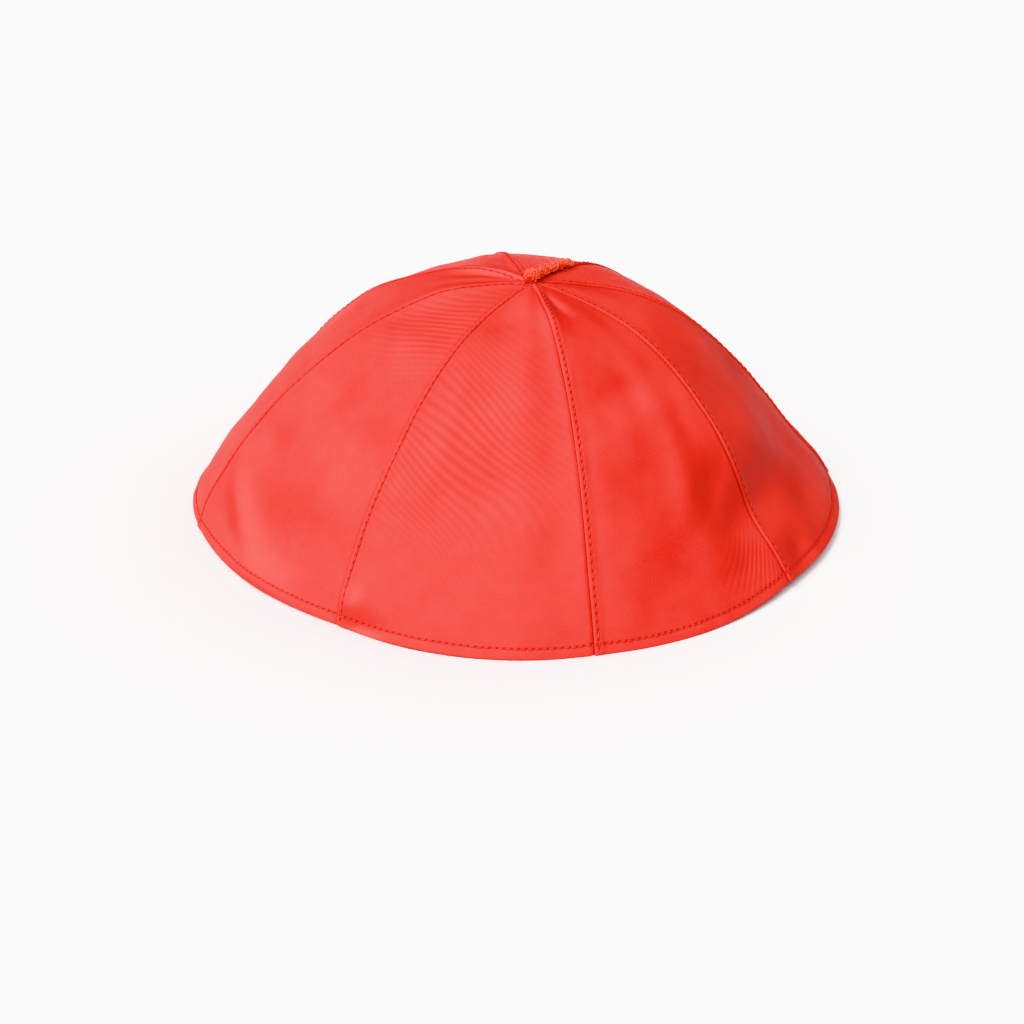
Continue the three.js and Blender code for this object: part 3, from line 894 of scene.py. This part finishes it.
def pile_tree():
    """A yarn core along each path, covered all round by short random fibre loops."""
    tree, given = new_tree("fluffy_thread", {
        "Core Radius": "NodeSocketFloat", "Loop Radius": "NodeSocketFloat",
        "Fibre Radius": "NodeSocketFloat", "Loops": "NodeSocketInt",
        "Seed": "NodeSocketInt", "Material": "NodeSocketMaterial"})
    curve = add(tree, "GeometryNodeMeshToCurve", {"Mesh": given["Geometry"]})
    core_ring = add(tree, "GeometryNodeCurvePrimitiveCircle", {
        "Radius": given["Core Radius"], "Resolution": 10})
    core = add(tree, "GeometryNodeCurveToMesh", {
        "Curve": curve, "Profile Curve": core_ring, "Fill Caps": True})
    spots = add(tree, "GeometryNodeCurveToPoints", {
        "Curve": curve, "Count": given["Loops"]}, mode="COUNT")
    loop = add(tree, "GeometryNodeCurveArc", {
        "Radius": given["Loop Radius"], "Resolution": 6,
        "Sweep Angle": math.radians(250)})
    fibre_ring = add(tree, "GeometryNodeCurvePrimitiveCircle", {
        "Radius": given["Fibre Radius"], "Resolution": 3})
    fibre = add(tree, "GeometryNodeCurveToMesh", {
        "Curve": loop, "Profile Curve": fibre_ring, "Fill Caps": True})
    out = add(tree, "ShaderNodeCombineXYZ", {"X": given["Core Radius"]})
    moved = add(tree, "GeometryNodeTransform", {"Geometry": fibre, "Translation": out})
    spin = add(tree, "FunctionNodeRandomValue", {
        "Seed": given["Seed"], "Min": (-1.3, -1.3, 0), "Max": (1.3, 1.3, math.tau)},
        data_type="FLOAT_VECTOR")
    turned = add(tree, "FunctionNodeEulerToRotation", {"Euler": spin})
    joined = add(tree, "FunctionNodeRotateRotation", {
        "Rotation": spots.outputs["Rotation"], "Rotate By": turned}, rotation_space="LOCAL")
    size = add(tree, "FunctionNodeRandomValue", {
        "Seed": given["Seed"], 2: 0.55, 3: 1.45}, data_type="FLOAT")
    pile = add(tree, "GeometryNodeInstanceOnPoints", {
        "Points": spots, "Instance": moved, "Rotation": joined, "Scale": size.outputs[1]})
    both = add(tree, "GeometryNodeJoinGeometry")
    tree.links.new(core.outputs["Mesh"], both.inputs["Geometry"])
    tree.links.new(pile.outputs["Instances"], both.inputs["Geometry"])
    return end_tree(tree, both, given)


# Operators


def make_gores(scene):
    """All the gores, with their hem lengths walked round the rim one after another."""
    sizes, stitches = scene.cap_sizes, scene.cap_stitches
    shape = CapShape(sizes)
    gores = [GoreMesh(shape, sizes, stitches, index) for index in range(COUNT)]
    total = sum(gore.hem_length for gore in gores)
    start = 0
    for gore in gores:
        gore.number_hem(start, total)
        start += gore.hem_length
    return gores


class SKULLCAP_OT_panels(bpy.types.Operator):
    """Makes the eight satin gores"""
    bl_idname = "skullcap.panels"
    bl_label = "Satin gores"

    def execute(self, context):
        scene = context.scene
        material = satin_material(scene.cap_colours, scene.cap_stitches)
        for index, gore in enumerate(make_gores(scene)):
            piece = make_gore(f"satin_panel_{index + 1}", gore, material)
            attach(piece, ROOT)
            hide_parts(f"panel_{index + 1}")
        return {"FINISHED"}


def crown_line(scene):
    """The loose thread's middle line, from over the crown along its seam."""
    sizes = scene.cap_thread
    shape = CapShape(scene.cap_sizes)
    down = np.linspace(0.0, 0.3, 400)
    points, faces = shape.gore(THREAD_SEAM, 0 * down, down)
    walked = walked_along(points, 0)
    at = np.linspace(0, sizes.length, 40)
    lifted = points + faces * (sizes.thickness / 2 + THREAD_CLEARANCE)
    line = points_at(at, walked, lifted)
    sway = THREAD_SWAY * np.sin(at / sizes.length * math.tau * THREAD_WAVES)
    line[:, 0] += sway
    line[:, 1] -= sway
    return line


def knot_tack(scene):
    """Stitches tangled round the knot, which hold the loose thread on the crown."""
    centre = crown_line(scene)[0]
    reach = scene.cap_thread.knot_diameter / 2
    turn = np.linspace(0, TACK_TURNS * math.tau, 30)
    wide = reach * (0.72 + 0.25 * np.cos(turn * 0.37))
    return np.stack([
        centre[0] + wide * np.cos(turn),
        centre[1] + wide * np.sin(turn * 1.07) - 0.5 * MM,
        centre[2] - 0.9 * MM + 0.7 * MM * np.sin(turn * 0.61 + 1),
    ], -1)


def sew(scene, name, paths, pitch):
    """One stitch at each point of the paths, all as one piece."""
    t = scene.cap_stitches
    tree = bpy.data.node_groups.get("stitch_row") or stitch_tree()
    material = bpy.data.materials.get("twisted_polyester_sewing_thread")
    return run_tree(name, paths, tree, {
        "Stitch Length": pitch * t.cover, "Thread Width": t.thread_width,
        "Material": material or sewing_material(scene.cap_colours)})


class SKULLCAP_OT_seam_stitching(bpy.types.Operator):
    """Sews the row of stitches beside each seam's folded edge"""
    bl_idname = "skullcap.seam_stitching"
    bl_label = "Seam stitching"

    def execute(self, context):
        scene = context.scene
        t = scene.cap_stitches
        paths = []
        for gore in make_gores(scene):
            outer = gore.outer()
            wide = [row for row in range(len(outer)) if gore.width[row] > 2.5 * t.seam_offset]
            line = np.array([
                points_at(t.seam_offset, gore.from_first[row], outer[row]) for row in wide])
            line = line + gore.faces[wide, 0] * STITCH_LIFT
            number = gore.seam_number[wide, 0]
            centres = np.arange(math.ceil(number[0]), gore.seam_count - 1) + 0.5
            paths.append(points_at(centres, number, line))
        paths.append(knot_tack(scene))
        piece = sew(scene, "seam_stitching", paths, t.seam_pitch)
        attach(piece, ROOT)
        return {"FINISHED"}


class SKULLCAP_OT_hem_stitching(bpy.types.Operator):
    """Sews the row of stitches round the hem"""
    bl_idname = "skullcap.hem_stitching"
    bl_label = "Hem stitching"

    def execute(self, context):
        scene = context.scene
        t = scene.cap_stitches
        line, number = [], []
        for gore in make_gores(scene):
            outer = gore.outer()
            for column in range(1, outer.shape[1] - 1):
                above = gore.above_rim[::-1, column]
                point = points_at(t.hem_height, above, outer[::-1, column])
                line.append(point + gore.faces[-1, column] * STITCH_LIFT)
                number.append(gore.hem_number[-1, column])
        centres = np.arange(1, gore.hem_count)
        path = points_at(centres, np.array(number), np.array(line))
        path = np.concatenate([line[:1], path, line[:1]])
        piece = sew(scene, "hem_stitching", [path], t.hem_pitch)
        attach(piece, ROOT)
        return {"FINISHED"}


class SKULLCAP_OT_crown_thread(bpy.types.Operator):
    """Lays the fluffy thread from its knot at the crown along its seam"""
    bl_idname = "skullcap.crown_thread"
    bl_label = "Crown thread"

    def execute(self, context):
        scene = context.scene
        sizes = scene.cap_thread
        line = crown_line(scene)
        turns = np.linspace(0, KNOT_TURNS * math.tau, 60)
        share = turns / turns[-1]
        reach = (sizes.knot_diameter - sizes.thickness) / 2 * (1 - share * 0.5)
        knot = line[0] + np.stack([
            reach * np.cos(turns), reach * np.sin(turns), (0.7 * share - 0.3) * MM], -1)
        piece = run_tree("fluffy_crown_thread", [line, knot], pile_tree(), {
            "Core Radius": sizes.core_radius, "Loop Radius": sizes.loop_radius,
            "Fibre Radius": sizes.fibre_radius, "Loops": sizes.pile_count,
            "Seed": sizes.seed, "Material": pile_material(scene.cap_colours)})
        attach(piece, ROOT)
        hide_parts("crown_thread")
        return {"FINISHED"}


class SKULLCAP_OT_stage(bpy.types.Operator):
    """Makes the pale floor, the soft light and the camera"""
    bl_idname = "skullcap.stage"
    bl_label = "Stage"

    def execute(self, context):
        scene = context.scene
        stage = scene.cap_stage
        mesh = bpy.data.meshes.new("studio_floor")
        corners = [(x * FLOOR_REACH, y * FLOOR_REACH, 0)
                   for x, y in ((-1, -1), (1, -1), (1, 1), (-1, 1))]
        mesh.from_pydata(corners, [], [(0, 1, 2, 3)])
        floor = new_object("studio_floor", mesh)
        material, tree = start_material("matte_white_floor")
        shader = add(tree, PRINCIPLED, {
            "Base Color": linear(scene.cap_colours.floor), "Roughness": 0.9,
            "Specular IOR Level": 0.1})
        add(tree, "ShaderNodeOutputMaterial", {"Surface": shader})
        mesh.materials.append(material)

        world = bpy.data.worlds.new("even_white_surround")
        world.use_nodes = True
        sky = world.node_tree.nodes["Background"]
        sky.inputs["Color"].default_value = (1, 1, 1, 1)
        sky.inputs["Strength"].default_value = stage.sky_strength
        scene.world = world

        rise = stage.light_elevation
        for name, strength, turn in (("soft_key", stage.key_strength, stage.key_turn),
                                     ("soft_fill", stage.fill_strength, stage.fill_turn)):
            light = bpy.data.lights.new(name, "SUN")
            light.angle = stage.light_angle
            light.energy = strength
            lamp = new_object(name, light)
            towards = Vector(direction(turn, rise))
            lamp.location = towards
            lamp.rotation_euler = towards.to_track_quat("Z", "Y").to_euler()

        camera = bpy.data.cameras.new("camera")
        camera.lens = stage.camera_lens
        camera.sensor_width = 36
        ahead = Vector((0, math.cos(stage.camera_elevation), -math.sin(stage.camera_elevation)))
        view = new_object("camera", camera)
        view.location = CAMERA_AIM - ahead * stage.camera_distance
        view.rotation_euler = ahead.to_track_quat("-Z", "Y").to_euler()
        scene.camera = view
        scene.view_settings.view_transform = "Khronos PBR Neutral"
        return {"FINISHED"}


class SKULLCAP_PT_sidebar(bpy.types.Panel):
    """The skullcap's sizes, colours and making steps"""
    bl_label = "Skullcap"
    bl_space_type = "VIEW_3D"
    bl_region_type = "UI"
    bl_category = "Skullcap"

    def draw(self, context):
        for name in GROUPS:
            group = getattr(context.scene, name)
            for key in group.__annotations__:
                self.layout.prop(group, key)
        for step in OPERATORS:
            self.layout.operator(step.bl_idname)


OPERATORS = (
    SKULLCAP_OT_panels,
    SKULLCAP_OT_seam_stitching,
    SKULLCAP_OT_hem_stitching,
    SKULLCAP_OT_crown_thread,
    SKULLCAP_OT_stage,
)
CLASSES = (*GROUPS.values(), *OPERATORS, SKULLCAP_PT_sidebar)


def register():
    for item in CLASSES:
        bpy.utils.register_class(item)
    for name, group in GROUPS.items():
        setattr(bpy.types.Scene, name, PointerProperty(type=group))


def unregister():
    for name in GROUPS:
        delattr(bpy.types.Scene, name)
    for item in reversed(CLASSES):
        bpy.utils.unregister_class(item)


def main():
    register()
    bpy.ops.skullcap.panels()
    bpy.ops.skullcap.seam_stitching()
    bpy.ops.skullcap.hem_stitching()
    bpy.ops.skullcap.crown_thread()
    bpy.ops.skullcap.stage()


if __name__ == "__main__":
    main()
